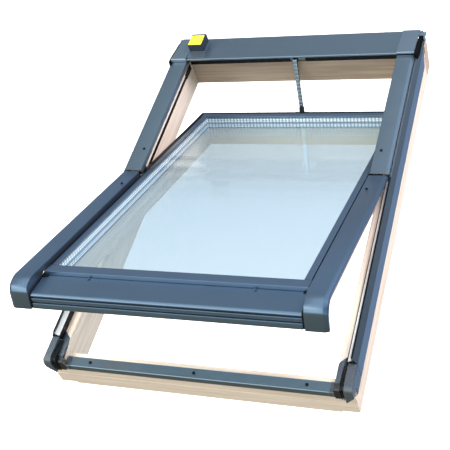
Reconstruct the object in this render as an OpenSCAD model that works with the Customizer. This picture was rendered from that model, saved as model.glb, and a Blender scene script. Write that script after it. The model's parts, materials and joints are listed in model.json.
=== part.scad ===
// Centre-pivot roof window: timber frame and sash, aluminium cladding,
// triple glazing, chain opener in the head and a rain sensor on the hood.
// X runs across the window, Y up the slope, Z out of the roof.
// Origin: middle of the sill's down-slope face, on the frame's room-side plane.

/* [Frame] */
// Width over the timber frame
frame_w = 780; // [550:5:1140]
// Height over the timber frame
frame_h = 1180; // [900:5:1600]
// Depth of the frame's side rails
frame_t = 104; // [96:1:120]
// Thickness of the frame's side rails
side_rail_w = 42.5; // [36:0.5:50]
// Thickness of the frame's head rail
head_rail_w = 58.5; // [50:0.5:70]
// Thickness of the frame's sill rail
sill_rail_w = 36; // [30:1:36]
// Height of the sill rail's top over the room-side plane
sill_rail_t = 80; // [76:1:82]
// Depth of the nosing under the sill rail
sill_nose = 6; // [3:0.5:10]

/* [Sash] */
// Angle at which the sash stands open
open_angle = 23.4; // [0:0.1:25]
// Height of the pivot axis up the slope
pivot_y = 606; // [440:1:800]
// Depth of the sash rails
sash_depth = 84; // [78:1:86]
// Width of the sash side rails
sash_rail_w = 43; // [38:1:50]
// Running gap between sash and frame at each side
side_gap = 3.5; // [3:0.5:6]
// Overhang of the sash below the sill
sash_overhang = 24; // [18:1:30]

/* [Glazing] */
// Thickness of each pane
pane_t = 4; // [3:1:5]
// Depth of the outer spacer
outer_spacer_d = 14; // [12:1:14]
// Depth of the inner spacer
inner_spacer_d = 12; // [10:1:12]
// Width of the spacers seen through the glass
spacer_w = 9; // [7:0.5:11]
// How far the glass edge sits behind the sash rail's inner face
glass_bite = 13.5; // [12:0.5:15]

/* [Cladding] */
// Width of the side covers
cover_w = 51; // [46:1:56]
// Thickness of the cladding sheet
sheet_t = 1.6; // [1.2:0.1:2]
// Height of the covers' top face over the room-side plane
cover_z = 141; // [139:0.5:144]
// Fall of the hood's top from its front to its back
hood_fall = 19; // [10:1:24]
// How far the hood's ends stand above its middle
hood_step = 4; // [2.5:0.5:6]

/* [Opener] */
// Width of the opener's housing
opener_w = 360; // [300:10:400]
// Width of the drive chain
chain_w = 13; // [10:0.5:16]
// Pitch of the drive chain
chain_pitch = 12; // [10:0.5:15]

/* [Hidden] */
$fn = 48;
gap = 0.3;        // seat clearance between separate pieces
play = 0.35;      // running clearance in the hinge guide
pilot_r = 2.1;    // screw holes

// Colours
pine = "#e6d3b8";
grey = "#5f7486";
light_grey = "#6b8195";
blue_grey = "#50677f";
slate = "#4a545c";
black = "#15191c";
white = "#e9ecec";
steel = "#a9b3b8";

// Frame
half_w = frame_w / 2;
rail_x = half_w - side_rail_w;             // inner face of a side rail
head_y = frame_h - head_rail_w;            // inner face of the head rail
lap_z = 60;                                // half-lap between sill and side rails
lap_y = 12;                                // front end of a side rail
head_step_z = 78;                          // ledge in the head rail for gasket and opener
head_step_y = head_y + 20;

// Covers
cover_out = half_w - 12.5;                 // outer edge of the side covers
cover_in = cover_out - cover_w;            // inner edge of the side covers
cover_gap = 7;                             // gap between the covers at the pivot
pivot_z = cover_z - 4;                     // virtual axis of the arc hinges
flange_in = 17;                            // drop of a cover's inner flange
flange_out = 10;                           // drop of a cover's outer flange

// Side profile: hollow extrusion on the outer edge of each side rail
profile_x = half_w + 2;                    // outer face
profile_low = 62;                          // lower edge of the outer wall
profile_mid = 116;                         // where the slope starts
profile_top = cover_z - 7;                 // top edge
profile_in = cover_out + 2;                // inner face
profile_y0 = 57;
profile_y1 = head_y - 20;

// Sash, in its closed place
sash_x = rail_x - side_gap;                // outer face of the sash's side rails
sash_in = sash_x - sash_rail_w + 0.4;      // inner face of the side rails
sash_z0 = 34;
sash_z1 = sash_z0 + sash_depth - 2;        // top of the timber rails
sash_y0 = sill_rail_w + 4;                 // outer face of the bottom rail
sash_y1 = head_y - 3.5;                    // outer face of the top rail
sash_in_y0 = sash_y0 + 37;                 // inner face of the bottom rail
sash_in_y1 = sash_y1 - 63;                 // inner face of the top rail
rebate_z = pivot_z - 49;                   // ledge that carries the glass unit

// Glass unit
unit_x = sash_in + glass_bite;
unit_y0 = sash_in_y0 - glass_bite;
unit_y1 = sash_in_y1 + glass_bite;
edge_gap = 1.2;
inner_pane_z = rebate_z + gap;
inner_spacer_z = inner_pane_z + pane_t;
middle_pane_z = inner_spacer_z + inner_spacer_d;
outer_spacer_z = middle_pane_z + pane_t;
outer_pane_z = outer_spacer_z + outer_spacer_d;
unit_z1 = outer_pane_z + pane_t;
spacer_inset = 3;
bead_t = 2.4;
bead_z = unit_z1 + gap;
bead_side_w = 16;
bead_x = sash_in + bead_side_w;            // outer edge of the side beads
bead_end_x = bead_x + 2;                   // ends of the bottom and top beads
bead_bottom_y = sash_in_y0 - 31;
bead_top_y = sash_in_y1 + 25;

// Sash bottom profile
front_y = -sash_overhang;
front_z0 = 69.5;
front_z1 = 108;
slope_y = bead_bottom_y - 1;
slope_z = sash_z1 + 2.5;
profile_end_x = cover_in - 5;              // the bottom profile ends between the covers

// Hood
hood_t = 1.6;
hood_z = cover_z + 9;                      // front fold
hood_y0 = head_y - 59.5;
hood_y1 = frame_h + gap + hood_t;          // outer face of the rear flange
hood_r = 3;
hood_lip = 7;
hood_back_z = hood_z - hood_fall;
hood_flange_z = frame_t + 5;
hood_a = atan2(hood_fall, hood_y1 - hood_y0 - hood_r);
function hood_line(y) = hood_back_z + (hood_y1 - y) * tan(hood_a);

// Opener
chain_x = 0;
chain_top = [head_y - 3, 90];
chain_link_h = 5;
link_t = 3.6;                              // a link plate's depth, less than its pin
end_link = [14, 10, 17];                   // the chain's last link, on the sash
end_link_y = sash_y1 - 12;
exit_w = 46;

// Arc hinge: guide on the frame, shoe on the sash, both centred on the axis
guide_r0 = 40;
guide_r1 = 52;
guide_wall = 3;
guide_top = frame_t - 1;
hinge_base = 4;
hinge_half = 62;
hinge_z0 = 79;
shoe_span = 25;                            // half of the shoe's arc, degrees
shoe_plate = 3;

// ---------- helpers ----------

// Extrudes an X-Z outline from y0 to y1
module along_y(y0, y1) {
    translate([0, y1, 0]) rotate([90, 0, 0]) linear_extrude(y1 - y0) children();
}

// Extrudes a Y-Z outline from x0 to x1
module along_x(x0, x1) {
    translate([x0, 0, 0]) rotate([90, 0, 90]) linear_extrude(x1 - x0) children();
}

// A box given by its two opposite corners
module block(a, b) {
    translate(a) cube(b - a);
}

// Left-hand copy of a right-hand piece
module left_hand() {
    mirror([1, 0, 0]) children();
}

// Carries the closed sash to its open place
module opened() {
    translate([0, pivot_y, pivot_z]) rotate([-open_angle, 0, 0])
        translate([0, -pivot_y, -pivot_z]) children();
}

function unit(v) = v / norm(v);
function side(v) = [-v[1], v[0]];
function leg(p, i) = unit(p[i + 1] - p[i]);

// Corner of a sheet's second face, beside point i of its first face
function sheet_corner(p, i, t) =
    i == 0 ? p[0] + t * side(leg(p, 0)) :
    i == len(p) - 1 ? p[i] + t * side(leg(p, i - 1)) :
    let (m = side(leg(p, i - 1)) + side(leg(p, i)))
    p[i] + t * m * 2 / (m * m);

// A bent sheet of thickness t, on the left of its path
module sheet(path, t) {
    last = len(path) - 1;
    polygon(concat(path, [for (i = [last : -1 : 0]) sheet_corner(path, i, t)]));
}

// Points of an arc about c, in degrees
function arc(c, r, a0, a1, n) =
    [for (i = [0 : n]) let (a = a0 + (a1 - a0) * i / n) c + r * [cos(a), sin(a)]];

// Pan-head screw with a cross recess, head up, seated at the origin
module screw(r, head, length) {
    difference() {
        union() {
            cylinder(h = head, r = r);
            translate([0, 0, -length]) cylinder(h = length, r = r / 2);
        }
        for (a = [0, 90]) rotate(a)
            translate([-r * 0.6, -r * 0.12, head - 0.9]) cube([r * 1.2, r * 0.24, 2]);
    }
}

// ---------- timber frame ----------

module sill_rail() color(pine) difference() {
    along_x(-half_w, half_w) polygon([[0, -sill_nose], [sill_rail_w, -sill_nose],
        [sill_rail_w, sill_rail_t], [2, sill_rail_t], [0, sill_rail_t - 2],
        [0, 43], [2.5, 41], [2.5, 38], [0, 36]]);
    // end laps under the side rails, and the step beside the nosing
    for (s = [-1, 1]) {
        block([s > 0 ? rail_x - 0.01 : -half_w - 1, -1, lap_z],
            [s > 0 ? half_w + 1 : -rail_x + 0.01, sill_rail_w + 1, sill_rail_t + 1]);
        block([s > 0 ? rail_x : -half_w - 1, -1, -sill_nose - 1],
            [s > 0 ? half_w + 1 : -rail_x, sill_rail_w + 1, 0]);
    }
    for (x = sill_screw_x) translate([x, sill_screw_y, sill_rail_t - 12])
        cylinder(h = 20, r = pilot_r);
}

module head_rail() color(pine) along_x(-half_w, half_w) polygon([
    [head_y, 0], [frame_h, 0], [frame_h, frame_t], [head_step_y, frame_t],
    [head_step_y, head_step_z], [head_y, head_step_z]]);

// Side rail with a kerf in its inner face and a lining groove in its back
module right_rail() color(pine) difference() {
    union() {
        along_y(sill_rail_w, head_y) side_rail_outline();
        block([rail_x, lap_y, lap_z], [half_w, sill_rail_w, frame_t]);
    }
    // housing for the hinge guide
    block([rail_x - 1, pivot_y - hinge_half, hinge_z0],
        [rail_x + hinge_base, pivot_y + hinge_half, frame_t + 1]);
    for (y = guide_screw_y) translate([rail_x + hinge_base - 1, y, guide_screw_z])
        rotate([0, 90, 0]) cylinder(h = 21, r = pilot_r);
}

module side_rail_outline() {
    polygon([[rail_x, 0], [rail_x + 8, 0], [rail_x + 8, 10], [rail_x + 20, 10],
        [rail_x + 20, 0], [half_w, 0], [half_w, frame_t], [rail_x + 1.5, frame_t],
        [rail_x, frame_t - 1.5], [rail_x, 99], [rail_x + 4, 98], [rail_x + 4, 93],
        [rail_x, 92]]);
}

module left_rail() left_hand() right_rail();

// ---------- cladding on the frame ----------

module right_side_profile() color(grey) difference() {
    along_y(profile_y0, frame_h - 1) difference() {
        polygon([[half_w + gap, profile_low], [profile_x, profile_low],
            [profile_x, profile_mid], [profile_in + 3, profile_top],
            [profile_in, profile_top], [profile_in, frame_t], [half_w + gap, frame_t]]);
        polygon([[profile_in + sheet_t, frame_t + sheet_t], [profile_x - sheet_t, frame_t + sheet_t],
            [profile_x - sheet_t, profile_mid - 0.6], [profile_in + sheet_t, profile_top - 3.8]]);
    }
    // notch beside the hood, with a slanting start; the outer wall ends there
    translate([profile_x - 3.5, 0, 0]) rotate([90, 0, 90]) linear_extrude(5) polygon([
        [profile_y1 - 4, profile_low - 1], [frame_h + 1, profile_low - 1],
        [frame_h + 1, profile_mid + 4.7], [profile_y1 + 42, profile_mid + 4.7],
        [profile_y1 + 42, profile_mid + 11], [profile_y1 + 30, profile_mid + 11]]);
}

module left_side_profile() left_hand() right_side_profile();

// Cover section: outer flange, top, inner flange with a short return lip
module cover_section() {
    sheet([[cover_out, cover_z - flange_out], [cover_out, cover_z - 1.5],
        [cover_out - 1.5, cover_z], [cover_in + 1.5, cover_z], [cover_in, cover_z - 1.5],
        [cover_in, cover_z - flange_in], [cover_in + 6, cover_z - flange_in]], sheet_t);
}

module right_frame_cover() color(grey) union() {
    difference() {
        along_y(pivot_y, hood_y0 + 30) cover_section();
        translate([cover_screw_x, frame_screw_y, cover_z - 3]) cylinder(h = 5, r = 2.4);
    }
    // bracket that stands on the side rail and takes the screw
    difference() {
        along_y(frame_screw_y - 12, frame_screw_y + 12) polygon([
            [rail_x + 3, frame_t], [rail_x + 9, frame_t], [rail_x + 9, cover_z - sheet_t],
            [cover_screw_x - 6, cover_z - sheet_t], [cover_screw_x - 6, cover_z - 12],
            [rail_x + 3, cover_z - 12]]);
        translate([cover_screw_x, frame_screw_y, cover_z - 14]) cylinder(h = 20, r = 2.4);
    }
}

module left_frame_cover() left_hand() right_frame_cover();

// Hood: rear flange, sloping top and a folded front lip
module hood_path(lift, y0, lip) {
    r = hood_r;
    z = hood_z + lift;
    sheet(concat([[hood_y1, hood_flange_z], [hood_y1, hood_back_z + lift * 0.7]],
        arc([y0 + r, z - r], r, 90 - hood_a, 180, 5),
        [[y0, z - lip], [y0 + 9, z - lip]]), hood_t);
}

module hood() color(grey) union() {
    along_x(-hood_x, hood_x) hood_path(0, hood_y0, hood_lip);
    // webs that stand on the head rail
    for (x = [opener_w / 2 + 20, hood_x - 24], s = [-1, 1]) along_x(s * x - 1, s * x + 1) polygon([
        [head_step_y + 6, frame_t], [frame_h - 6, frame_t],
        [frame_h - 6, hood_line(frame_h - 6) - 0.8],
        [head_step_y + 6, hood_line(head_step_y + 6) - 0.8]]);
}

hood_x = cover_in - gap;                   // half of the hood's middle length

module hood_end() {
    x1 = cover_out - 1;
    y0 = hood_y1 - 30;
    along_x(cover_in, x1)
        hood_path(hood_step, hood_y0 - 2, hood_z + hood_step - cover_z - gap);
    // foot on the side of the head rail
    along_x(x1 - sheet_t, x1) polygon([[y0, frame_t], [y0 + 14, frame_t],
        [y0 + 14, hood_line(y0 + 14) + 2.6], [y0, hood_line(y0) + 2.6]]);
}

module left_hood_end() color(light_grey) left_hand() hood_end();

// The right end is open and has an upright plate over the rail's end
module right_hood_end() color(light_grey) union() {
    hood_end();
    y0 = hood_y1 - 30;
    z0 = profile_top + 1;
    block([cover_out - 1 - sheet_t, y0, z0], [half_w + 1, y0 + 14, z0 + 1.6]);
    along_x(half_w + gap, profile_x) polygon([[y0 - 8, profile_mid + 5], [frame_h, profile_mid + 5],
        [frame_h, profile_top - 4.5], [y0 + 14, z0 + 1.6], [y0, z0 + 1.6], [y0 - 8, profile_top - 4]]);
}

foam_y1 = hood_y1 - 32;

// Foam block over the profile's crest, beside the cover and the hood's end
module right_foam_block() color(black) along_y(hood_y0 - 20, foam_y1) polygon([
    [cover_out + gap, profile_top + gap], [profile_in + 3.2, profile_top + gap],
    [profile_in + 6.7, profile_mid + 11.8], [profile_in + 8, profile_top - 3],
    [profile_in + 5, profile_top + 3], [profile_in + 1.5, profile_top + 6],
    [cover_out + gap, profile_top + 6]]);

module left_foam_block() left_hand() right_foam_block();

module sill_cover() color(grey) difference() {
    along_x(-sill_cover_x, sill_cover_x) polygon([
        [-gap, 66], [-3, 66], [-3, sill_rail_t + 3], [-1.6, sill_rail_t + 4],
        [24, sill_rail_t + 3.2], [24, sill_rail_t], [2, sill_rail_t], [0, sill_rail_t - 2],
        [-gap, sill_rail_t - 2]]);
    for (x = sill_screw_x) translate([x, sill_screw_y, sill_rail_t - 1])
        cylinder(h = 10, r = 2.4);
}

sill_cover_x = rail_x - 10;
sill_screw_x = [-278, 0, 278] / 347.5 * rail_x;
sill_screw_y = 11;

// Lap pieces that close the gap between the sill cover and each corner
module sill_cover_laps() color(slate) for (s = [-1, 1]) {
    x0 = s > 0 ? sill_cover_x - 5 : -rail_x + 2;
    x1 = s > 0 ? rail_x - 2 : -sill_cover_x + 5;
    along_x(x0, x1) polygon([
        [-3 - gap, 68], [-4.5, 68], [-4.5, sill_rail_t + 4.2], [-2, sill_rail_t + 5.6],
        [24, sill_rail_t + 4.8], [24, sill_rail_t + 3.5], [-1.6, sill_rail_t + 4.3],
        [-3 - gap, sill_rail_t + 3.2]]);
}

// ---------- lower corners ----------

shell_y0 = -15;                            // front of the corner shell
shell_x = profile_in - 8.5;                // inner edge of the shell
shell_z = profile_top - 16;                // its top face
shell_r = 18;
shell_t = 2;

// Cross-section of the shell, set in by o
module shell_section(o) polygon([[shell_x + o, 40], [shell_x + o, shell_z - o],
    [profile_x - 3.5 - o * 0.2, shell_z - o], [profile_x - min(o, 1.7), shell_z - 4 - o * 0.2],
    [profile_x - min(o, 1.7), 40]]);

// Side view of the shell, set in by o
module shell_side(o) polygon(concat(
    [[profile_y0 - gap + (o > 0 ? 1 : 0), 40], [profile_y0 - gap + (o > 0 ? 1 : 0), shell_z - o]],
    arc([shell_y0 + shell_r, shell_z - shell_r], shell_r - o, 90, 180, 8),
    [[shell_y0 + o, 40]]));

// Rounded plastic shell that carries on the side profile over the end of the rail
module right_corner_shell() color(light_grey) difference() {
    shell_form(0);
    shell_form(shell_t);
    // room for the side rail and the sill rail
    block([shell_x - 1, lap_y - gap, 0], [half_w + gap, profile_y0 + 1, frame_t + gap]);
    block([shell_x - 1, -gap, 0], [half_w + gap, profile_y0 + 1, lap_z + 2]);
    // slanting lower edges at the front and along the side
    along_y(shell_y0 - 1, lap_y - gap + 0.01) polygon([[shell_x - 1, 30], [profile_x + 1, 30],
        [profile_x + 1, 88], [shell_x - 1, 62]]);
    block([half_w, shell_y0 - 1, 30], [profile_x + 1, profile_y0 + 1, profile_low]);
}

module shell_form(o) intersection() {
    along_y(shell_y0 - 1, profile_y0 + 2) shell_section(o);
    along_x(shell_x - 1, profile_x + 1) shell_side(o);
}

module left_corner_shell() left_hand() right_corner_shell();

fin_t = 1.6;
fin_pitch = 4;
fin_n = 3;
fin_x = shell_x - 1.1 - fin_t;             // inner side of the outermost fin

// Curved rubber fins beside the shell, on a common foot
module right_corner_fins() color(black) {
    x0 = fin_x - (fin_n - 1) * fin_pitch;
    for (i = [0 : fin_n - 1]) along_x(x0 + i * fin_pitch, x0 + i * fin_pitch + fin_t) fin_outline();
    block([x0 + 1, lap_y + 2, frame_t + gap], [fin_x + 1, profile_y0 - 8, frame_t + 4]);
    block([x0 + 1, -4, lap_z + 8], [fin_x + 1, -gap, frame_t - 12]);
}

module fin_outline() {
    r = 16;
    polygon(concat(
        [[profile_y0 - 4, frame_t + gap], [profile_y0 - 4, frame_t + 6]],
        arc([shell_y0 + 3 + r, shell_z - 3 - r], r, 90, 180, 8),
        [[shell_y0 + 7, lap_z + 4], [-gap, lap_z + 4], [-gap, frame_t - 8],
        [lap_y - gap, frame_t + gap]]));
}

module left_corner_fins() left_hand() right_corner_fins();

// Plate on the side rail's end, with a slanting inner edge, folded down over the front
module right_corner_plate() color(slate) union() {
    x1 = fin_x - (fin_n - 1) * fin_pitch - 0.8;
    x0 = rail_x + 0.5;
    translate([0, 0, frame_t + gap]) linear_extrude(2.2) polygon([
        [x1, lap_y - 2.5], [x0, lap_y - 2.5], [x0, lap_y + 14],
        [x1 - 1.5, profile_y0 + 25], [strip_foot_x - gap, profile_y0 + 25],
        [strip_foot_x - gap, profile_y0 + 1], [x1, profile_y0 + 1]]);
    block([x0, lap_y - 2.5, sill_rail_t + 7], [x1, lap_y - gap, frame_t + gap + 2.2]);
}

module left_corner_plate() left_hand() right_corner_plate();

// ---------- seals on the frame ----------

strip_in = profile_in - 10;                // inner edge of the seal strip
strip_foot_x = strip_in - 2.5;             // inner side of its foot gasket
strip_low = profile_top - 13;              // height of the strip's inner edge
strip_high = cover_z - flange_out - 2.5;   // height of its outer edge, under the sash cover
crest_x = cover_out + 0.4;                 // inner side of the seal on the profile's crest

// White seal strip along the lower half, sloping up to the profile, on its foot gasket
module right_seal_strip() color(white)
    along_y(profile_y0 + 1, pivot_y - 6) polygon([
        [strip_in, strip_low], [strip_in + 0.6, strip_low - 1.2],
        [profile_in, strip_high - 2.4], [profile_in, strip_high - 0.4],
        [profile_in - 1, strip_high]]);

module left_seal_strip() left_hand() right_seal_strip();

// Black seals: foot of each seal strip, crest of each profile, and one on each upper inner face
module frame_gaskets() color(black) for (s = [0, 1]) mirror([s, 0, 0]) {
    along_y(profile_y0 + 1, pivot_y - 6) polygon([
        [strip_foot_x, frame_t], [profile_in, frame_t], [profile_in, strip_high - 2.4],
        [strip_in + 0.6, strip_low - 1.2], [strip_in, strip_low],
        [strip_foot_x, strip_low - 2]]);
    along_y(profile_y0 + 2, pivot_y - 6) polygon([
        [crest_x, profile_top + gap], [profile_in + 3, profile_top + gap],
        [profile_in + 2.4, profile_top + 2.4], [crest_x + 0.6, profile_top + 2.4]]);
    along_y(pivot_y + hinge_half + 4, head_y - 64) polygon([
        [rail_x - 1.4, 74], [rail_x, 73], [rail_x, 85], [rail_x - 1.4, 84]]);
}

exit_x = [-15, exit_w - 15];               // ends of the chain's exit plate

// Black gasket on the head rail's ledge behind the hood's lip, and a block in each corner
module head_gasket() color(black) {
    for (s = [0, 1]) mirror([s, 0, 0])
        block([rail_x - 2, head_y - 62, 72], [rail_x - gap, head_y - 12, frame_t - 14]);
    for (x = [[-rail_x, exit_x[0] - 1], [exit_x[1] + 1, rail_x]])
        along_x(x[0], x[1]) polygon([
            [head_y + 0.8, head_step_z], [head_y + 9, head_step_z], [head_y + 9, frame_t + 4],
            [head_y + 4, frame_t + 4], [head_y + 2.5, head_step_z + 12]]);
}

// ---------- rain sensor ----------

sensor = [48, 51];                         // plan of the rain sensor's housing
sensing = [42.5, 43.5, 1.6];               // sensing plate, let into the housing's top
sensor_x = -cover_in + 0.5;                // its left side
sensor_y = frame_h - 76;                   // its down-slope side
sensor_z = hood_line(sensor_y) + 2.5;      // underside, level
sensor_top = sensor_z + 26;

module rain_sensor() color("#2e3b47") difference() {
    block([sensor_x, sensor_y, sensor_z],
        [sensor_x + sensor[0], sensor_y + sensor[1], sensor_top]);
    sensing_block(gap, 1);
}

// The sensing plate's block, widened by w and raised by h
module sensing_block(w, h) block(
    [sensor_x + 1 - w, sensor_y + 1 - w, sensor_top - sensing[2] + 0.4],
    [sensor_x + 1 + sensing[0] + w, sensor_y + 1 + sensing[1] + w, sensor_top + 0.4 + h]);

module sensor_plate() color("#fff26a") sensing_block(0, 0);

// Wedge under the sensor, with a plate that lies on the hood's slope
module sensor_bracket() color(light_grey) {
    y = [sensor_y - 34, sensor_y - 1.5, sensor_y + sensor[1] + 1];
    x = [sensor_x, sensor_x + sensor[0] + 1];
    h = [for (v = y) hood_line(v) + 0.05];
    along_x(x[0], x[1]) polygon([
        [y[1], h[1]], [y[2], h[2]], [y[2], sensor_z], [y[1], sensor_z]]);
    intersection() {
        along_x(x[0], x[1] + 20) polygon([[y[0], h[0]],
            [y[1] + 2, hood_line(y[1] + 2) + 0.05], [y[1] + 2, hood_line(y[1] + 2) + 2],
            [y[0], h[0] + 1.2]]);
        translate([0, 0, frame_t]) linear_extrude(90) polygon([[x[0], y[0]],
            [x[1] + 15, y[0]], [x[1], y[1] + 3], [x[0], y[1] + 3]]);
    }
}

// ---------- chain opener ----------

opener_z1 = frame_t + 22;
exit_z = [84, 100];                        // lower and upper edge of the exit plate

module opener_housing() color("#3c4248") difference() {
    along_x(-opener_w / 2, opener_w / 2) polygon([
        [head_y + 9 + gap, head_step_z], [head_step_y, head_step_z],
        [head_step_y, frame_t], [frame_h - 6, frame_t], [frame_h - 6, opener_z1],
        [head_y + 9 + gap, opener_z1]]);
    // chain slot
    block([chain_x - chain_w / 2 - 2, head_y, chain_top[1] - 5],
        [chain_x + chain_w / 2 + 2, head_step_y - 3, chain_top[1] + 7]);
}

module chain_exit_plate() color(steel) difference() {
    block([exit_x[0], head_y + 0.8, exit_z[0]], [exit_x[1], head_y + 9 + gap, exit_z[1]]);
    block([chain_x - chain_w / 2 - 2, head_y - 1, chain_top[1] - 4.5],
        [chain_x + chain_w / 2 + 2, head_y + 12, chain_top[1] + 6.5]);
}

// Where the end link's top comes to with the sash open
function turned(p, a) = let (v = p - [pivot_y, pivot_z])
    [pivot_y + v[0] * cos(a) + v[1] * sin(a), pivot_z - v[0] * sin(a) + v[1] * cos(a)];
chain_end = turned([end_link_y + end_link[1] / 2, sash_z1 + 4.5 + end_link[2] + 0.8], open_angle);
chain_run = chain_end - chain_top;
chain_len = norm(chain_run);
chain_tilt = atan2(chain_run[0], -chain_run[1]);
chain_links = floor(chain_len / chain_pitch);

// Flat links side by side on cross pins, between the housing and the sash
module drive_chain() color(steel) union() {
    // straight run into the housing
    block([chain_x - chain_w / 4, chain_top[0], chain_top[1] - link_t / 2],
        [chain_x + chain_w / 4, head_step_y - 3, chain_top[1] + link_t / 2]);
    translate([chain_x, chain_top[0], chain_top[1]]) rotate([chain_tilt, 0, 0]) {
        for (i = [0 : chain_links - 1]) translate([0, 0, -i * chain_pitch]) chain_link(i);
        // the last link's stub, down to the end link
        translate([-chain_w / 4, -link_t / 2, -chain_len])
            cube([chain_w / 2, link_t, chain_len - (chain_links - 0.5) * chain_pitch]);
    }
}

// Outer plates on even links, inner plates on odd ones
module chain_link(i) {
    w = i % 2 == 0 ? chain_w : chain_w * 0.86;
    translate([-w / 2, 0, 0]) rotate([0, 90, 0]) cylinder(h = w, r = chain_link_h / 2);
    translate([-w / 2 + 0.5, -link_t / 2, -chain_pitch])
        cube([w - 1, link_t, chain_pitch]);
}

module chain_bracket() color(black) opened() union() {
    translate([0, end_link_y, sash_z1 + 4.5]) difference() {
        translate([-end_link[0] / 2, 0, 0]) cube(end_link);
        translate([-end_link[0], end_link[1] / 2, end_link[2] - 6]) rotate([0, 90, 0])
            cylinder(h = 2 * end_link[0], r = 2);
    }
    block([-22, end_link_y - 3, sash_z1], [22, sash_y1 - 1, sash_z1 + 4.5]);
}

// ---------- arc hinges ----------

guide_screw_y = [pivot_y - 54, pivot_y + 54];
guide_screw_z = 91;

// A flat arc from r0 to r1 about the pivot, between two angles from straight down
module hinge_arc(x0, x1, r0, r1, a0, a1) {
    translate([x0, pivot_y, pivot_z]) rotate([90, 0, 90]) rotate(-90 + a0)
        rotate_extrude(angle = a1 - a0, $fn = 96)
            translate([r0, 0]) square([r1 - r0, x1 - x0]);
}

module right_hinge_guide() color(steel) difference() {
    union() {
        block([rail_x, pivot_y - hinge_half, hinge_z0],
            [rail_x + hinge_base, pivot_y + hinge_half, guide_top]);
        intersection() {
            union() {
                hinge_arc(rail_x - 2.7, rail_x + 0.5, guide_r1, guide_r1 + guide_wall, -60, 60);
                hinge_arc(rail_x - 2.7, rail_x + 0.5, guide_r0 - guide_wall, guide_r0, -60, 60);
            }
            block([rail_x - 5, pivot_y - hinge_half, hinge_z0],
                [rail_x + 5, pivot_y + hinge_half, guide_top]);
        }
    }
    for (y = guide_screw_y) translate([rail_x - 1, y, guide_screw_z])
        rotate([0, 90, 0]) cylinder(h = hinge_base + 2, r = pilot_r);
}

module left_hinge_guide() left_hand() right_hinge_guide();

module hinge_guide_screws() color(steel) for (s = [0, 1]) mirror([s, 0, 0])
    for (y = guide_screw_y) translate([rail_x, y, guide_screw_z]) rotate([0, -90, 0])
        screw(3.2, 1.6, 18);

// Shoe on the sash: plate let into the side rail, and an arc that runs in the guide
module right_hinge_shoe() color(steel) opened() difference() {
    union() {
        block([sash_x - shoe_plate, pivot_y - 20, sash_z0 + 40],
            [sash_x, pivot_y + 60, sash_z1 - 4]);
        hinge_arc(sash_x - 1, rail_x - play, guide_r0 + play, guide_r1 - play,
            open_angle / 2 - shoe_span, open_angle / 2 + shoe_span);
    }
    for (p = shoe_screw) translate([sash_x, p[0], p[1]]) rotate([0, -90, 0]) {
        translate([0, 0, -1]) cylinder(h = shoe_plate + 2, r = pilot_r);
        translate([0, 0, -1]) cylinder(h = 2.5, r = 3.5);
    }
}

shoe_screw = [[pivot_y - 12, sash_z0 + 46], [pivot_y + 52, sash_z0 + 46]];

module left_hinge_shoe() left_hand() right_hinge_shoe();

module hinge_shoe_screws() color(steel) opened() for (s = [0, 1]) mirror([s, 0, 0])
    for (p = shoe_screw) translate([sash_x - 1.5, p[0], p[1]]) rotate([0, 90, 0])
        screw(3.2, 1.4, 14);

// ---------- sash timber ----------

// What is planed off the lower outer edges of the sash's side rails
module side_taper() for (s = [0, 1]) mirror([s, 0, 0])
    along_y(sash_y0 - 50, sash_y1 + 10) polygon([[sash_x - 13, sash_z0 - 1],
        [sash_x + 1, sash_z0 - 1], [sash_x + 1, sash_z0 + 30], [sash_x, sash_z0 + 30],
        [sash_x - 13, sash_z0]]);

module sash_bottom_rail() color(pine) opened() difference() {
    along_x(-sash_x, sash_x) polygon([
        [sash_y0 + 7, sash_z0], [sash_in_y0, sash_z0], [sash_in_y0, rebate_z],
        [unit_y0 - edge_gap, rebate_z], [unit_y0 - edge_gap, sash_z1],
        [bead_bottom_y, sash_z1], [front_y + 8, 104], [front_y + 8, 90],
        [sash_y0, 90], [sash_y0 + 1, 70]]);
    side_taper();
    for (x = bottom_screw_x) translate([x, bottom_screw_y, 91])
        cylinder(h = 40, r = pilot_r);
}

module sash_top_rail() color(pine) opened() difference() {
    along_x(-sash_x, sash_x) polygon([
        [sash_in_y1, sash_z0], [sash_y1, sash_z0], [sash_y1, sash_z1],
        [unit_y1 + edge_gap, sash_z1], [unit_y1 + edge_gap, rebate_z], [sash_in_y1, rebate_z]]);
    side_taper();
}

module right_sash_stile() color(pine) opened() difference() {
    along_y(sash_in_y0, sash_in_y1) polygon([
        [sash_in, sash_z0], [sash_x, sash_z0], [sash_x, sash_z1],
        [unit_x + edge_gap, sash_z1], [unit_x + edge_gap, rebate_z], [sash_in, rebate_z]]);
    side_taper();
    block([sash_x - shoe_plate, pivot_y - 20, sash_z0 + 40],
        [sash_x + 1, pivot_y + 60, sash_z1 - 4]);
    for (p = shoe_screw) translate([sash_x - 20, p[0], p[1]])
        rotate([0, 90, 0]) cylinder(h = 21, r = pilot_r);
    translate([sash_x - 4, sash_screw_y, sash_z1 - 14]) cylinder(h = 20, r = 2.2);
}

module sash_right_rail() right_sash_stile();

module sash_left_rail() left_hand() right_sash_stile();

// ---------- sash cladding ----------

cover_screw_x = cover_out - 34;
frame_screw_y = pivot_y + 82;
sash_screw_y = pivot_y - 95;

nose_r = 14;                               // bend over the lower end of a sash cover

// Side cover of the sash: channel, then a bend down over the corner
module right_sash_cover() color(blue_grey) opened() {
    difference() {
        union() {
            along_y(8, pivot_y - cover_gap) sash_cover_section();
            cover_nose();
            // foot on the sash rail's top
            block([sash_x - 10, sash_screw_y - 12, sash_z1],
                [sash_x - 1, sash_screw_y + 12, cover_z - sheet_t]);
        }
        translate([sash_x - 4, sash_screw_y, sash_z1 - 1]) cylinder(h = 40, r = 2.4);
    }
}

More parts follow.
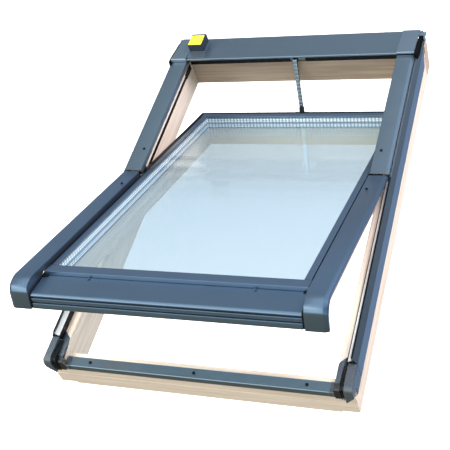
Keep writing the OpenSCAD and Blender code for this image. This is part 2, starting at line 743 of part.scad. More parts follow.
module sash_cover_section() {
    sheet([[cover_out, cover_z - flange_out], [cover_out, cover_z - 1.5],
        [cover_out - 1.5, cover_z], [cover_in + 1.5, cover_z], [cover_in, cover_z - 1.5],
        [cover_in, cover_z - flange_in]], sheet_t);
}

// Points of the nose's outer line: slope, then down the front
function nose_line() = concat([[8, cover_z]],
    [[-1, cover_z - 2.6], [front_y + 1, 126]],
    arc([front_y + nose_r - 3.4, 111], nose_r, 155, 180, 4),
    [[front_y - 3.4, front_z0 - 0.5]]);

module cover_nose() {
    line = nose_line();
    along_x(cover_in, cover_out) sheet(line, sheet_t);
    // side cheeks: the inner one reaches down to the rail, the outer one clears the corner shell
    along_x(cover_in, cover_in + sheet_t) polygon(concat(line,
        [[front_y + 7.7, front_z0 - 0.5], [front_y + 7.7, 104.5],
        [bead_bottom_y, sash_z1 + 0.1], [bead_bottom_y, cover_z - flange_in],
        [8, cover_z - flange_in]]));
    along_x(cover_out - sheet_t, cover_out) polygon(concat(line,
        [[front_y + 7, front_z0 - 0.5], [front_y + 7, cover_z - 36],
        [-4, cover_z - 18], [8, cover_z - flange_out]]));
}

module left_sash_cover() left_hand() right_sash_cover();

bottom_screw_x = [-202, 202] / 327 * cover_in;
bottom_screw_y = slope_y - 5;

// Bottom profile: sloping top, rounded lip, ribbed front
module sash_bottom_profile() color(blue_grey) opened() difference() {
    along_x(-profile_end_x, profile_end_x) polygon([
        [slope_y, slope_z - 2.2], [slope_y, slope_z], [front_y + 9, front_z1 + 1.5],
        [front_y + 3, front_z1 - 0.3], [front_y, front_z1 - 4],
        [front_y, 101], [front_y + 4, 100], [front_y + 4, 97.5], [front_y - 0.2, 96.5],
        [front_y, 88.5], [front_y + 4, 88], [front_y + 4, 84.5], [front_y - 0.2, 83.5],
        [front_y, front_z0], [front_y + 6, front_z0], [front_y + 7.7, front_z0 + 3],
        [front_y + 7.7, 104.3]]);
    for (x = bottom_screw_x) translate([x, bottom_screw_y, slope_z - 6])
        cylinder(h = 10, r = 2.4);
}

module bottom_bead() color(blue_grey) opened() along_x(-bead_end_x, bead_end_x) polygon([
    [bead_bottom_y, sash_z1], [bead_bottom_y + sheet_t, sash_z1],
    [bead_bottom_y + sheet_t, bead_z], [sash_in_y0, bead_z], [sash_in_y0, bead_z + 1.2],
    [sash_in_y0 - 1.2, bead_z + bead_t], [bead_bottom_y, bead_z + bead_t]]);

module top_bead() color(blue_grey) opened() along_x(-bead_end_x, bead_end_x) polygon([
    [bead_top_y, sash_z1], [bead_top_y - sheet_t, sash_z1],
    [bead_top_y - sheet_t, bead_z], [sash_in_y1, bead_z], [sash_in_y1, bead_z + 1.2],
    [sash_in_y1 + 1.2, bead_z + bead_t], [bead_top_y, bead_z + bead_t]]);

module right_bead() color(blue_grey) opened()
    along_y(sash_in_y0 + gap, sash_in_y1 - gap) polygon([
        [bead_x, sash_z1], [bead_x - sheet_t, sash_z1], [bead_x - sheet_t, bead_z],
        [sash_in, bead_z], [sash_in, bead_z + 1.2], [sash_in + 1.2, bead_z + bead_t],
        [bead_x, bead_z + bead_t]]);

module left_bead() left_hand() right_bead();

// ---------- glass unit ----------

module pane(z) {
    opened() block([-unit_x, unit_y0, z], [unit_x, unit_y1, z + pane_t]);
}

module outer_pane() color("#cfe2ee", 0.5) pane(outer_pane_z);

module middle_pane() color("#cfe2ee", 0.5) pane(middle_pane_z);

module inner_pane() color("#cfe2ee", 0.5) pane(inner_pane_z);

// Hollow-bar frame between two panes
module spacer(z, d) {
    s = spacer_inset;
    w = s + spacer_w;
    opened() difference() {
        block([-unit_x + s, unit_y0 + s, z], [unit_x - s, unit_y1 - s, z + d]);
        block([-unit_x + w, unit_y0 + w, z - 1], [unit_x - w, unit_y1 - w, z + d + 1]);
    }
}

module outer_spacer() color(white) spacer(outer_spacer_z, outer_spacer_d);

module inner_spacer() color(white) spacer(inner_spacer_z, inner_spacer_d);

// ---------- seals and fixings on the sash ----------

// Black strips on top of the side and top rails, and one under the bottom nose
module sash_gaskets() color(black) opened() {
    x0 = bead_x + 1;
    for (s = [0, 1]) mirror([s, 0, 0]) {
        along_y(sash_in_y0 + 9, pivot_y + 30) polygon([
            [x0, sash_z1], [sash_x - 10.6, sash_z1], [sash_x - 10.6, sash_z1 + 3],
            [x0, sash_z1 + 2.5]]);
        along_y(pivot_y + 30, bead_top_y) polygon([
            [x0, sash_z1], [sash_x - 0.6, sash_z1], [sash_x - 0.6, sash_z1 + 2.4],
            [sash_x - 6, sash_z1 + 3], [x0, sash_z1 + 2.5]]);
        along_x(22 + gap, sash_x - 0.6) polygon([
            [bead_top_y + 0.5, sash_z1], [sash_y1, sash_z1], [sash_y1 + 1.6, sash_z1 + 1],
            [sash_y1 + 1, sash_z1 + 3], [bead_top_y + 0.5, sash_z1 + 3]]);
    }
    // raised lip behind the top bead
    along_x(-cover_in + 2, cover_in - 2) polygon([
        [bead_top_y + 0.5, sash_z1 + 3 + gap], [end_link_y - 4, sash_z1 + 3 + gap],
        [end_link_y - 4, sash_z1 + 5], [bead_top_y + 0.5, sash_z1 + 9]]);
    along_x(-rail_x + 14, rail_x - 14) polygon([
        [26, 90], [34, 90], [33, sill_rail_t + 5.5], [28, sill_rail_t + 5.5]]);
}

// Black fillers between the bottom profile's ends and the side covers
module sash_corner_blocks() color(black) opened() for (s = [0, 1]) mirror([s, 0, 0]) {
    z1 = slope_z - 1;
    along_x(profile_end_x + gap, cover_in - gap) polygon([
        [front_y + 1.5, front_z0 + 0.5], [front_y + 7.6, front_z0 + 0.5],
        [front_y + 7.6, 104.6], [slope_y, sash_z1], [sash_in_y0 + 8.5, sash_z1],
        [sash_in_y0 + 8.5, sash_z1 + 3.5], [slope_y + 5, sash_z1 + 5.5], [slope_y - 5, z1],
        [front_y + 10, front_z1], [front_y + 1.5, front_z1 - 3]]);
    // pad over the profile's corner, beside the bead's step
    along_x(bead_end_x - 10, cover_in - gap) polygon([
        [slope_y - 6, slope_z - 0.5], [slope_y + 0.7, slope_z + 0.5],
        [slope_y + 0.7, slope_z + 2], [slope_y - 6, slope_z + 0.8]]);
}

module frame_cover_screws() color(slate) for (s = [-1, 1])
    translate([s * cover_screw_x, frame_screw_y, cover_z]) screw(3.6, 1.8, 11);

module sash_cover_screws() color(slate) opened() for (s = [-1, 1])
    translate([s * (sash_x - 4), sash_screw_y, cover_z]) screw(3.6, 1.8, 36);

module sill_cover_screws() color(black) for (x = sill_screw_x)
    translate([x, sill_screw_y, sill_rail_t + 3.9]) screw(3.8, 2, 12);

module bottom_profile_screws() color(steel) opened() for (x = bottom_screw_x)
    translate([x, bottom_screw_y, slope_z]) screw(3.6, 1.8, 24);

sill_rail();
head_rail();
left_rail();
right_rail();
left_side_profile();
right_side_profile();
left_frame_cover();
right_frame_cover();
hood();
left_hood_end();
right_hood_end();
left_foam_block();
right_foam_block();
sill_cover();
sill_cover_laps();
left_corner_shell();
right_corner_shell();
left_corner_fins();
right_corner_fins();
left_corner_plate();
right_corner_plate();
left_seal_strip();
right_seal_strip();
frame_gaskets();
head_gasket();
rain_sensor();
sensor_plate();
sensor_bracket();
opener_housing();
chain_exit_plate();
drive_chain();
left_hinge_guide();
right_hinge_guide();
hinge_guide_screws();
frame_cover_screws();
sill_cover_screws();
sash_bottom_rail();
sash_top_rail();
sash_left_rail();
sash_right_rail();
left_sash_cover();
right_sash_cover();
sash_bottom_profile();
bottom_bead();
top_bead();
left_bead();
right_bead();
outer_pane();
middle_pane();
inner_pane();
outer_spacer();
inner_spacer();
sash_gaskets();
sash_corner_blocks();
left_hinge_shoe();
right_hinge_shoe();
hinge_shoe_screws();
sash_cover_screws();
bottom_profile_screws();
chain_bracket();
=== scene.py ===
import json
import math
import bmesh
import bpy
import numpy as np
from mathutils import Matrix, Vector


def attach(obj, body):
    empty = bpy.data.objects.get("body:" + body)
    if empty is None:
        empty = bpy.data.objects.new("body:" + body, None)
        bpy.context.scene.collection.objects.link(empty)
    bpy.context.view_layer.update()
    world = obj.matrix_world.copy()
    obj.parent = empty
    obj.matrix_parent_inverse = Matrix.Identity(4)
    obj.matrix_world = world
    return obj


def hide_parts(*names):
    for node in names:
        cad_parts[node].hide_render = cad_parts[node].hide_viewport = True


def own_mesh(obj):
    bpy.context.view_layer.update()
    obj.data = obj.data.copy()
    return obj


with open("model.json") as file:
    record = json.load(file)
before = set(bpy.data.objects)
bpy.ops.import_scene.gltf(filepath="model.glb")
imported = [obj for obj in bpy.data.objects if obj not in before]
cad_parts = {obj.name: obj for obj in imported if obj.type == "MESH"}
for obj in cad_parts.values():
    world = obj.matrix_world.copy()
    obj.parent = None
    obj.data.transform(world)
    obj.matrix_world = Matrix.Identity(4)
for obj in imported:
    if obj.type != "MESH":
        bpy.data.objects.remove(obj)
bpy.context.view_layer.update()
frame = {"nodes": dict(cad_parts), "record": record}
nodes = frame["nodes"]
print("frame loaded:", len(nodes), "nodes")

# Camera: standing below the roof window, looking up the slope of a 45 degree roof
cameraSettings = {
    "place": (0.8733, -1.0078, 1.9016),
    "target": (-0.0595, 0.4840, 0.0600),
    "lens": 75.57,
    "sensor": 36.0,
    "roofPitch": 45.0,
    "clipEnd": 50.0,
}


def addCamera(s):
    # looks from place to target; right is the roof's upright crossed with the line of sight
    place, target = Vector(s["place"]), Vector(s["target"])
    pitch = math.radians(s["roofPitch"])
    upright = Vector((0, math.sin(pitch), math.cos(pitch)))
    back = (place - target).normalized()
    right = upright.cross(back).normalized()
    up = back.cross(right)
    data = bpy.data.cameras.new("camera")
    data.lens = s["lens"]
    data.sensor_width = s["sensor"]
    data.clip_end = s["clipEnd"]
    camera = bpy.data.objects.new("camera", data)
    turn = Matrix((right, up, back)).transposed().to_4x4()
    camera.matrix_world = Matrix.Translation(place) @ turn
    bpy.context.scene.collection.objects.link(camera)
    bpy.context.scene.camera = camera


addCamera(cameraSettings)


def linear(hexColour):
    # sRGB hex to linear light: a straight line near black, then a power curve
    c = [int(hexColour[i:i + 2], 16) / 255 for i in (1, 3, 5)]
    curve = [v / 12.92 if v <= 0.04045 else ((v + 0.055) / 1.055) ** 2.4 for v in c]
    return curve + [1.0]


def addNode(tree, kind, settings=None, links=None):
    # one node with its settings and the sockets that feed it
    n = tree.nodes.new(kind)
    for name, value in (settings or {}).items():
        if isinstance(name, str) and hasattr(n, name) and name not in n.inputs:
            setattr(n, name, value)
        else:
            n.inputs[name].default_value = value
    for name, source in (links or {}).items():
        tree.links.new(source, n.inputs[name])
    return n


def newMaterial(name):
    # a material with an empty node tree
    m = bpy.data.materials.new(name)
    m.use_nodes = True
    m.node_tree.nodes.clear()
    return m, m.node_tree


def finishMaterial(tree, shader):
    # the shader becomes the material's surface
    out = addNode(tree, "ShaderNodeOutputMaterial")
    tree.links.new(shader.outputs[0], out.inputs["Surface"])


def ramp(tree, fac, stops):
    # colours at places from 0 to 1; a colour is an sRGB hex value or linear light
    r = addNode(tree, "ShaderNodeValToRGB", links={"Fac": fac})
    e = r.color_ramp.elements
    while len(e) < len(stops):
        e.new(0.5)
    for slot, (place, colour) in zip(e, stops):
        slot.position = place
        slot.color = linear(colour) if isinstance(colour, str) else (*colour, 1.0)
    return r.outputs["Color"]


# Studio: white floor, sky that is dark and olive in front of and below the window, soft lamps
studio = {
    "floorHeight": -0.62,
    "floorSize": 30.0,
    "floorColour": "#f6f6f6",
    "floorRough": 0.9,
    "floorGlow": 0.62,
    # paper that lies behind glass takes the blue of an open sky
    "behindGlass": "#ecf3f9",
    "behindGlassGlow": 1.3,
    "strength": 1.0,
    # light of the surroundings from straight down (0) to straight up (1), behind and in front
    "behind": ((0.0, (0.28, 0.42, 0.66)), (0.30, (0.26, 0.38, 0.57)), (0.44, (0.19, 0.24, 0.31)),
               (0.54, (0.24, 0.32, 0.41)), (0.70, (0.23, 0.30, 0.355)), (0.87, (0.22, 0.29, 0.34)),
               (0.905, (0.85, 1.0, 1.08)), (1.0, (1.05, 1.18, 1.24))),
    "inFront": ((0.0, (0.17, 0.16, 0.105)), (0.40, (0.22, 0.21, 0.14)), (0.52, (0.25, 0.245, 0.18)),
                (0.58, (0.60, 0.64, 0.62)), (0.67, (1.8, 1.9, 1.9)), (0.82, (2.2, 2.3, 2.3)),
                (0.92, (1.25, 1.38, 1.43)), (1.0, (0.95, 1.08, 1.14))),
    # the sky in front turns into the one behind between these two values of Y
    "turnsOver": (-0.35, 0.15),
    # a window high on the right lights the chamfers along the covers, a wall beside it is dark
    "window": {"light": (0.50, 0.66, 0.84), "fromX": (-0.2, 0.1), "fromZ": (0.02, 0.14)},
    "wall": {"light": (0.03, 0.04, 0.04), "fromX": (0.5, 0.75), "share": 0.72},
    # even light of a white room, which matt surfaces take
    "evenLight": (0.70, 0.675, 0.63),
}


def addStudio(s):
    # the sky's colour is a function of a direction's X, Y and Z; camera rays see white
    world = bpy.data.worlds.new("studio")
    bpy.context.scene.world = world
    world.use_nodes = True
    t = world.node_tree
    t.nodes.clear()
    window, wall = s["window"], s["wall"]
    way = addNode(t, "ShaderNodeSeparateXYZ", links={
        0: addNode(t, "ShaderNodeTexCoord").outputs["Generated"]})
    height = addNode(t, "ShaderNodeMapRange", {"From Min": -1.0}, {"Value": way.outputs["Z"]})
    facing = addNode(t, "ShaderNodeMapRange", {
        "From Min": s["turnsOver"][0], "From Max": s["turnsOver"][1]}, {"Value": way.outputs["Y"]})
    sky = addNode(t, "ShaderNodeMix", {"data_type": "RGBA"}, {
        "Factor": facing.outputs[0],
        "A": ramp(t, height.outputs[0], s["inFront"]),
        "B": ramp(t, height.outputs[0], s["behind"])})
    right = addNode(t, "ShaderNodeMapRange", {
        "From Min": window["fromX"][0], "From Max": window["fromX"][1]}, {
        "Value": way.outputs["X"]})
    upper = addNode(t, "ShaderNodeMapRange", {
        "From Min": window["fromZ"][0], "From Max": window["fromZ"][1]}, {
        "Value": way.outputs["Z"]})
    inWindow = addNode(t, "ShaderNodeMath", {"operation": "MULTIPLY"}, {
        0: right.outputs[0], 1: upper.outputs[0]})
    sky = addNode(t, "ShaderNodeMix", {"data_type": "RGBA", "B": (*window["light"], 1)}, {
        "Factor": inWindow.outputs[0], "A": sky.outputs["Result"]})
    shade = addNode(t, "ShaderNodeMapRange", {
        "From Min": wall["fromX"][0], "From Max": wall["fromX"][1], "To Max": wall["share"]}, {
        "Value": way.outputs["X"]})
    sky = addNode(t, "ShaderNodeMix", {"data_type": "RGBA", "B": (*wall["light"], 1)}, {
        "Factor": shade.outputs[0], "A": sky.outputs["Result"]})
    ray = addNode(t, "ShaderNodeLightPath")
    light = addNode(t, "ShaderNodeMix", {"data_type": "RGBA", "B": (*s["evenLight"], 1)}, {
        "Factor": ray.outputs["Is Diffuse Ray"], "A": sky.outputs["Result"]})
    light = addNode(t, "ShaderNodeMix", {"data_type": "RGBA", "B": (1, 1, 1, 1)}, {
        "Factor": ray.outputs["Is Camera Ray"], "A": light.outputs["Result"]})
    background = addNode(t, "ShaderNodeBackground", {"Strength": s["strength"]}, {
        "Color": light.outputs["Result"]})
    out = addNode(t, "ShaderNodeOutputWorld")
    t.links.new(background.outputs[0], out.inputs["Surface"])
    half, z = s["floorSize"] / 2, s["floorHeight"]
    mesh = bpy.data.meshes.new("floor")
    mesh.from_pydata([(-half, -half, z), (half, -half, z), (half, half, z), (-half, half, z)],
                     [], [(0, 1, 2, 3)])
    floor = bpy.data.objects.new("floor", mesh)
    bpy.context.scene.collection.objects.link(floor)
    m, t = newMaterial("palePaper")
    paper = addNode(t, "ShaderNodeBsdfPrincipled", {
        "Base Color": linear(s["floorColour"]), "Roughness": s["floorRough"],
        "Emission Color": linear(s["floorColour"]), "Emission Strength": s["floorGlow"]})
    blue = addNode(t, "ShaderNodeEmission", {
        "Color": linear(s["behindGlass"]), "Strength": s["behindGlassGlow"]})
    behind = addNode(t, "ShaderNodeMath", {"operation": "GREATER_THAN", 1: 0.5}, {
        0: addNode(t, "ShaderNodeLightPath").outputs["Transparent Depth"]})
    finishMaterial(t, addNode(t, "ShaderNodeMixShader", links={
        0: behind.outputs[0], 1: paper.outputs[0], 2: blue.outputs[0]}))
    mesh.materials.append(m)
    floor.visible_glossy = False
    floor.visible_diffuse = False


addStudio(studio)

lamps = {
    "keyLamp": {"place": (3.3, 1.5, 1.1), "size": (1.8, 1.8), "power": 62, "colour": "#ffe9e4"},
    "roofLamp": {"place": (-2.2, 0.2, 2.5), "size": (1.8, 1.8), "power": 150, "colour": "#fff6ea"},
    "frontLamp": {"place": (0.2, -2.6, 1.9), "size": (1.8, 1.4), "power": 16, "colour": "#ffecd0"},
    "nearLamp": {"place": (1.05, 1.0, 1.6), "size": (0.9, 0.9), "power": 42, "colour": "#f6f0ff"},
}
lampTarget = (0.0, 0.45, 0.05)


def addLamp(name, s):
    # a rectangle of light turned to face lampTarget
    data = bpy.data.lights.new(name, "AREA")
    data.shape = "RECTANGLE"
    data.size, data.size_y = s["size"]
    data.energy = s["power"]
    data.color = linear(s["colour"])[:3]
    lamp = bpy.data.objects.new(name, data)
    back = (Vector(s["place"]) - Vector(lampTarget)).normalized()
    turn = back.to_track_quat("Z", "Y").to_matrix().to_4x4()
    lamp.matrix_world = Matrix.Translation(s["place"]) @ turn
    lamp.visible_glossy = False  # matt surfaces alone take its light, the cladding mirrors the sky
    bpy.context.scene.collection.objects.link(lamp)


for name, settings in lamps.items():
    addLamp(name, settings)
scene = bpy.context.scene
scene.view_settings.view_transform = "Standard"
# enough bounces for three panes seen through one another
scene.cycles.transparent_max_bounces = 48
scene.cycles.max_bounces = 16
print("studio ready")

# Sizes below are millimetres. A sash piece is written as in the closed window and turned open
hinge = {"height": 606.0, "depth": 137.0, "openAngle": 23.4}


def toOpen(p):
    # turns points of the closed sash about the hinge axis: a plane rotation of Y and Z
    a = math.radians(hinge["openAngle"])
    y, z = p[:, 1] - hinge["height"], p[:, 2] - hinge["depth"]
    return np.column_stack((p[:, 0], hinge["height"] + y * math.cos(a) + z * math.sin(a),
                            hinge["depth"] - y * math.sin(a) + z * math.cos(a)))


edging = {"crease": 32.0, "segments": 2, "angle": 35.0}


def finishPiece(name, mesh, body, stands, soften=0.0):
    # smooth faces with sharp creases, edges rounded by soften, then its body and CAD nodes
    mesh.shade_smooth()
    mesh.set_sharp_from_angle(angle=math.radians(edging["crease"]))
    piece = bpy.data.objects.new(name, mesh)
    bpy.context.scene.collection.objects.link(piece)
    if soften:
        edge = piece.modifiers.new("roundedEdges", "BEVEL")
        edge.width = soften * 0.001
        edge.segments = edging["segments"]
        edge.limit_method = "ANGLE"
        edge.angle_limit = math.radians(edging["angle"])
        edge.harden_normals = True
    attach(piece, body)
    if stands:
        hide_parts(*stands)
    return piece


def addPiece(name, verts, faces, finish, body, stands=(), soften=0.0, closed=True):
    # millimetres to metres, the sash's points turned open, and a closed piece's faces outwards
    verts = np.asarray(verts, float).reshape(-1, 3)
    if body == "sash":
        verts = toOpen(verts)
    mesh = bpy.data.meshes.new(name)
    mesh.from_pydata((verts * 0.001).tolist(), [], faces)
    mesh.materials.append(finish)
    if closed:
        form = bmesh.new()
        form.from_mesh(mesh)
        bmesh.ops.remove_doubles(form, verts=form.verts, dist=1e-6)
        bmesh.ops.recalc_face_normals(form, faces=form.faces)
        form.to_mesh(mesh)
        form.free()
    return finishPiece(name, mesh, body, stands, soften)


def bend(line, cut, steps=5, closed=False):
    # each corner becomes a parabola that starts cut before the corner and ends cut past it, where
    # cut is kept under half of the shorter side
    p = np.asarray(line, float)
    before, after = np.roll(p, 1, 0), np.roll(p, -1, 0)
    if not closed:
        before[0], after[-1] = p[0], p[-1]
    lengthIn = np.maximum(np.linalg.norm(p - before, axis=1), 1e-9)[:, None]
    lengthOut = np.maximum(np.linalg.norm(after - p, axis=1), 1e-9)[:, None]
    c = np.minimum(np.broadcast_to(np.asarray(cut, float), len(p))[:, None],
                   0.48 * np.minimum(lengthIn, lengthOut))
    a, b = p - (p - before) / lengthIn * c, p + (after - p) / lengthOut * c
    u = np.linspace(0, 1, steps)[None, :, None]
    curve = (1 - u) ** 2 * a[:, None] + 2 * u * (1 - u) * p[:, None] + u ** 2 * b[:, None]
    if closed:
        return curve.reshape(-1, 2)
    return np.concatenate((p[:1], curve[1:-1].reshape(-1, 2), p[-1:]))


def sheetLoop(line, thickness):
    # the line, and back along its copy moved to the left by the sheet's thickness
    way = np.diff(line, axis=0)
    way = way / np.linalg.norm(way, axis=1)[:, None]
    along = np.concatenate((way[:1], way[:-1] + way[1:], way[-1:]))
    along = along / np.linalg.norm(along, axis=1)[:, None]
    first = np.concatenate((way[:1], way))
    stretch = thickness / np.maximum((along * first).sum(1), 0.5)
    moved = line + np.column_stack((-along[:, 1], along[:, 0])) * stretch[:, None]
    return np.concatenate((line, moved[::-1]))


def gridFaces(rows, columns, wrap):
    # quads of a grid of points, closed round its columns where wrap is set
    last = columns if wrap else columns - 1
    r, c = np.meshgrid(np.arange(rows - 1), np.arange(last), indexing="ij")
    r, c = r.ravel(), c.ravel()
    d = (c + 1) % columns
    return np.column_stack((r * columns + c, (r + 1) * columns + c,
                            (r + 1) * columns + d, r * columns + d)).tolist()


def sweep(loop, axis, start, end):
    # a closed outline carried along X (outline in Y, Z) or Y (outline in X, Z), both ends closed
    n = len(loop)
    stations = np.repeat([start, end], n)
    both = np.tile(loop, (2, 1))
    first, last = both.T
    columns = (stations, first, last) if axis == "x" else (first, stations, last)
    faces = gridFaces(2, n, True) + [list(range(n)), list(range(2 * n - 1, n - 1, -1))]
    return np.column_stack(columns), faces


def mirrored(verts, sign):
    # X times the sign of the side
    return np.asarray(verts) * (sign, 1, 1)


sides = (("left", -1), ("right", 1))


pine = {"growthRing": 0.011, "fibre": 0.0028, "streakLength": 0.34, "fibreLength": 0.136,
        "fibreShare": 0.35, "rough": (0.44, 0.58), "relief": 0.25, "reliefHeight": 0.0006,
        "coat": 0.15, "coatRough": 0.3,
        "dark": "#d0bfa9", "middle": "#dfd2c1", "light": "#e9dfd1", "pale": "#f1eade"}


def woodGrain(name, along, body, s):
    # planed and clear-lacquered pine: streaks a few mm wide that run the length of a rail, made of
    # noise drawn out along it; the sash's grain is turned with the sash
    m, t = newMaterial(name)
    place = addNode(t, "ShaderNodeTexCoord").outputs["Object"]
    turn = (math.radians(-hinge["openAngle"]), 0, 0) if body == "sash" else (0, 0, 0)

    def streaks(width, length, detail):
        size = (length, width, width) if along == "x" else (width, length, width)
        mapped = addNode(t, "ShaderNodeMapping", {
            "vector_type": "TEXTURE", "Rotation": turn, "Scale": size}, {"Vector": place})
        noise = addNode(t, "ShaderNodeTexNoise", {
            "Scale": 1.0, "Detail": detail, "Roughness": 0.6}, {"Vector": mapped.outputs[0]})
        return noise.outputs["Fac"]

    wide = streaks(s["growthRing"], s["streakLength"], 3.0)
    fine = streaks(s["fibre"], s["fibreLength"], 2.0)
    tone = addNode(t, "ShaderNodeMix", {"data_type": "FLOAT", "Factor": s["fibreShare"]}, {
        "A": wide, "B": fine})
    colour = ramp(t, tone.outputs["Result"], (
        (0.30, s["dark"]), (0.46, s["middle"]), (0.58, s["light"]), (0.75, s["pale"])))
    relief = addNode(t, "ShaderNodeBump", {
        "Strength": s["relief"], "Distance": s["reliefHeight"]}, {"Height": fine})
    rough = addNode(t, "ShaderNodeMapRange", {
        "To Min": s["rough"][0], "To Max": s["rough"][1]}, {"Value": wide})
    finishMaterial(t, addNode(t, "ShaderNodeBsdfPrincipled", {
        "IOR": 1.5, "Coat Weight": s["coat"], "Coat Roughness": s["coatRough"]}, {
        "Base Color": colour, "Roughness": rough.outputs[0], "Normal": relief.outputs[0]}))
    return m


metallicLacquer = {"cloud": 0.09, "flake": 0.0015, "peel": 0.0025, "flakeShare": 0.45, "tone": 0.05,
                   "rough": (0.26, 0.31), "metal": 0.88, "relief": 0.05, "reliefHeight": 0.0002}


def lacquer(name, colour, s):
    # aluminium strip with baked metallic lacquer: fine flakes, faint orange peel, soft sheen, from
    # three noises with the sizes of a cloud, a flake and the peel in metres
    m, t = newMaterial(name)
    place = addNode(t, "ShaderNodeTexCoord").outputs["Object"]
    cloud, flake, peel = (
        addNode(t, "ShaderNodeTexNoise", {"Scale": 1 / s[size], "Detail": detail}, {
            "Vector": place}).outputs["Fac"]
        for size, detail in (("cloud", 3.0), ("flake", 1.0), ("peel", 2.0)))
    mixed = addNode(t, "ShaderNodeMix", {"data_type": "FLOAT", "Factor": s["flakeShare"]}, {
        "A": cloud, "B": flake})
    base = np.array(linear(colour)[:3])
    shade = ramp(t, mixed.outputs["Result"], (
        (0.3, tuple(base * (1 - s["tone"]))), (0.7, tuple(base * (1 + s["tone"])))))
    rough = addNode(t, "ShaderNodeMapRange", {
        "To Min": s["rough"][0], "To Max": s["rough"][1]}, {"Value": cloud})
    relief = addNode(t, "ShaderNodeBump", {
        "Strength": s["relief"], "Distance": s["reliefHeight"]}, {"Height": peel})
    finishMaterial(t, addNode(t, "ShaderNodeBsdfPrincipled", {"Metallic": s["metal"]}, {
        "Base Color": shade, "Roughness": rough.outputs[0], "Normal": relief.outputs[0]}))
    return m


def plasticLike(**changes):
    # grain and cloud sizes in metres, then the spread of tone and roughness, and the relief
    return {"grain": 0.0012, "cloud": 0.03, "vary": 0.08, "rough": 0.5, "roughSpread": 0.06,
            "relief": 0.2, "reliefHeight": 0.0004, "ior": 1.49, **changes}


def moulded(name, colour, s):
    # injection-moulded plastic or rubber: fine spark-eroded grain, drawn at grain size
    m, t = newMaterial(name)
    place = addNode(t, "ShaderNodeTexCoord").outputs["Object"]
    grain, cloud = (
        addNode(t, "ShaderNodeTexNoise", {"Scale": 1 / s[size], "Detail": detail}, {
            "Vector": place}).outputs["Fac"]
        for size, detail in (("grain", 2.0), ("cloud", 3.0)))
    base = np.array(linear(colour)[:3])
    shade = ramp(t, cloud, (
        (0.3, tuple(base * (1 - s["vary"]))), (0.7, tuple(base * (1 + s["vary"])))))
    rough = addNode(t, "ShaderNodeMapRange", {
        "To Min": s["rough"] - s["roughSpread"], "To Max": s["rough"] + s["roughSpread"]}, {
        "Value": grain})
    relief = addNode(t, "ShaderNodeBump", {
        "Strength": s["relief"], "Distance": s["reliefHeight"]}, {"Height": grain})
    finishMaterial(t, addNode(t, "ShaderNodeBsdfPrincipled", {"IOR": s["ior"]}, {
        "Base Color": shade, "Roughness": rough.outputs[0], "Normal": relief.outputs[0]}))
    return m


zincPlating = {"drawnLine": (0.0006, 0.012, 0.012), "tone": (0.85, 1.12),
               "roughSpread": (-0.08, 0.1), "relief": 0.15, "reliefHeight": 0.0002}


def steel(name, colour, rough, s=zincPlating):
    # cold-rolled and zinc-plated steel: drawn lines across a mottled plating
    m, t = newMaterial(name)
    place = addNode(t, "ShaderNodeTexCoord").outputs["Object"]
    stretched = addNode(t, "ShaderNodeMapping", {
        "vector_type": "TEXTURE", "Scale": s["drawnLine"]}, {"Vector": place})
    lines = addNode(t, "ShaderNodeTexNoise", {"Scale": 1.0, "Detail": 2.0}, {
        "Vector": stretched.outputs[0]}).outputs["Fac"]
    base = np.array(linear(colour)[:3])
    shade = ramp(t, lines, ((0.3, tuple(base * s["tone"][0])), (0.7, tuple(base * s["tone"][1]))))
    spread = addNode(t, "ShaderNodeMapRange", {
        "To Min": rough + s["roughSpread"][0], "To Max": rough + s["roughSpread"][1]}, {
        "Value": lines})
    relief = addNode(t, "ShaderNodeBump", {
        "Strength": s["relief"], "Distance": s["reliefHeight"]}, {"Height": lines})
    finishMaterial(t, addNode(t, "ShaderNodeBsdfPrincipled", {"Metallic": 1.0}, {
        "Base Color": shade, "Roughness": spread.outputs[0], "Normal": relief.outputs[0]}))
    return m


glazing = {"tint": "#fafdfe", "gloss": "#f4fbff", "rough": 0.02, "veil": 0.02, "faceOn": 0.04,
           "power": 5.0}


def floatGlass(name, s):
    # clear float glass with a low-emissivity coat: the reflected share is faceOn where one looks
    # straight at it and rises with the fifth power of the slant, alike on both sides of a face, and
    # the coat adds a faint milky veil
    m, t = newMaterial(name)
    clear = addNode(t, "ShaderNodeBsdfTransparent", {"Color": linear(s["tint"])})
    mirror = addNode(t, "ShaderNodeBsdfGlossy", {
        "Color": linear(s["gloss"]), "Roughness": s["rough"]})
    facing = addNode(t, "ShaderNodeLayerWeight", {"Blend": 0.5}).outputs["Facing"]
    steep = addNode(t, "ShaderNodeMath", {"operation": "POWER", 1: s["power"]}, {0: facing})
    share = addNode(t, "ShaderNodeMapRange", {"To Min": s["faceOn"]}, {"Value": steep.outputs[0]})
    coat = addNode(t, "ShaderNodeBsdfDiffuse", {"Color": linear(s["gloss"])})
    milky = addNode(t, "ShaderNodeMixShader", {0: s["veil"]}, {
        1: clear.outputs[0], 2: coat.outputs[0]})
    finishMaterial(t, addNode(t, "ShaderNodeMixShader", links={
        0: share.outputs[0], 1: milky.outputs[0], 2: mirror.outputs[0]}))
    return m


# the pitch divides the distance from the hinge to the bars, so that a row of holes lies on a face
perforation = {"pitch": (0.010818, 0.010726, 0.005667), "shift": (0.0, 0.0, 0.33), "holeSize": 0.36,
               "holeEdge": 0.08, "hole": "#ffffff", "bar": "#779fb4", "glow": 0.2, "rough": 0.45}


